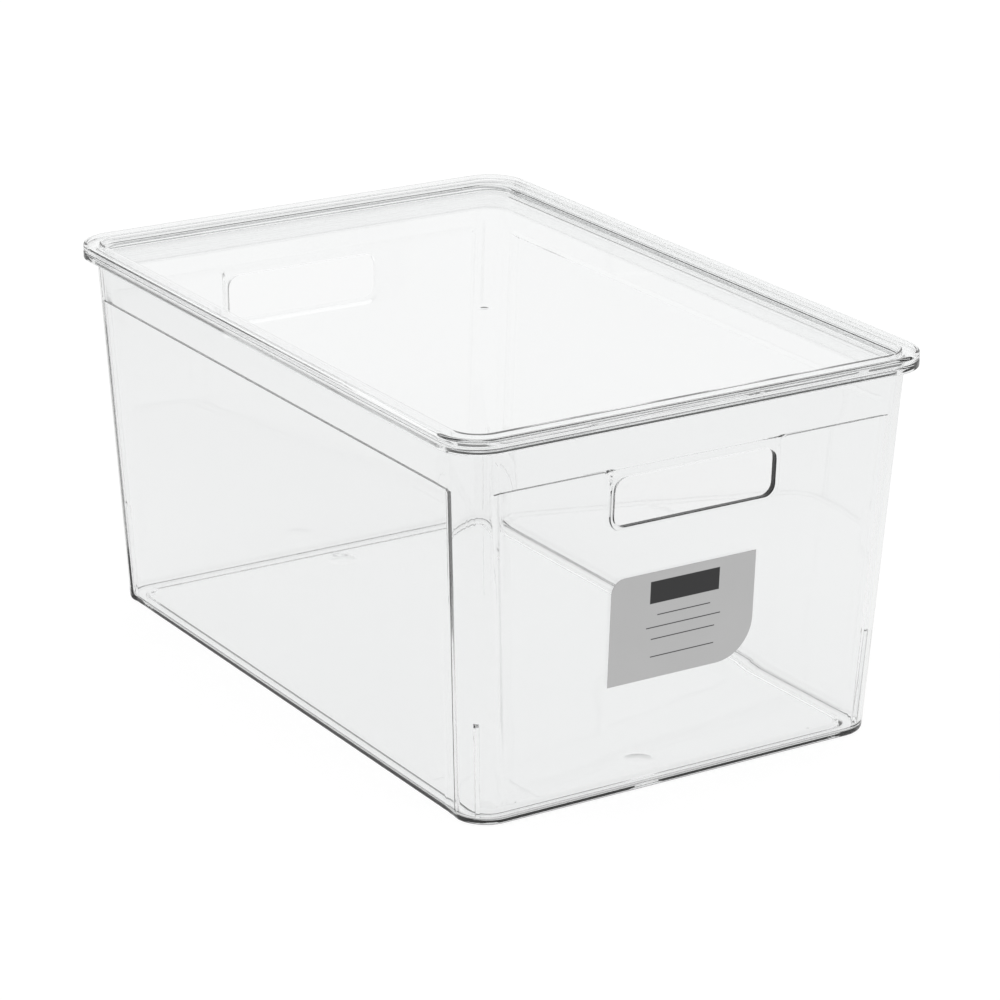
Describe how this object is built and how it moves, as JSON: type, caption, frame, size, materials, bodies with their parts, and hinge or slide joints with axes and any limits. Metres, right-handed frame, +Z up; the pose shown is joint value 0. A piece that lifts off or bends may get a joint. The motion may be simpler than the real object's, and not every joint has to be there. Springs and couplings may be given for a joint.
{
  "type": "clear storage box with lid",
  "caption": "Clear moulded storage box with sunk wall panels, two hand holes, a label and a lift-off lid whose recess takes a stacked box.",
  "frame": {"origin": "middle of the box at the height of the foot, which is the middle of the bottom of its box", "axes": "+X along the long side towards the short wall that carries the label, +Z up through the lid, +Y across the width"},
  "size_m": [0.385, 0.265, 0.195],
  "materials": {
    "clear_tub": "clear moulded styrene, polished",
    "clear_lid": "clear moulded styrene, polished",
    "label": "grey printed sticker, satin"
  },
  "bodies": {
    "tub": {"tub": "clear_tub", "label": "label"},
    "lid": {"lid": "clear_lid"}
  },
  "joints": [
    {"name": "lid_lift", "type": "slide", "parent": "tub", "child": "lid", "axis": [0, 0, 1], "range_m": [0, 0.22]}
  ]
}
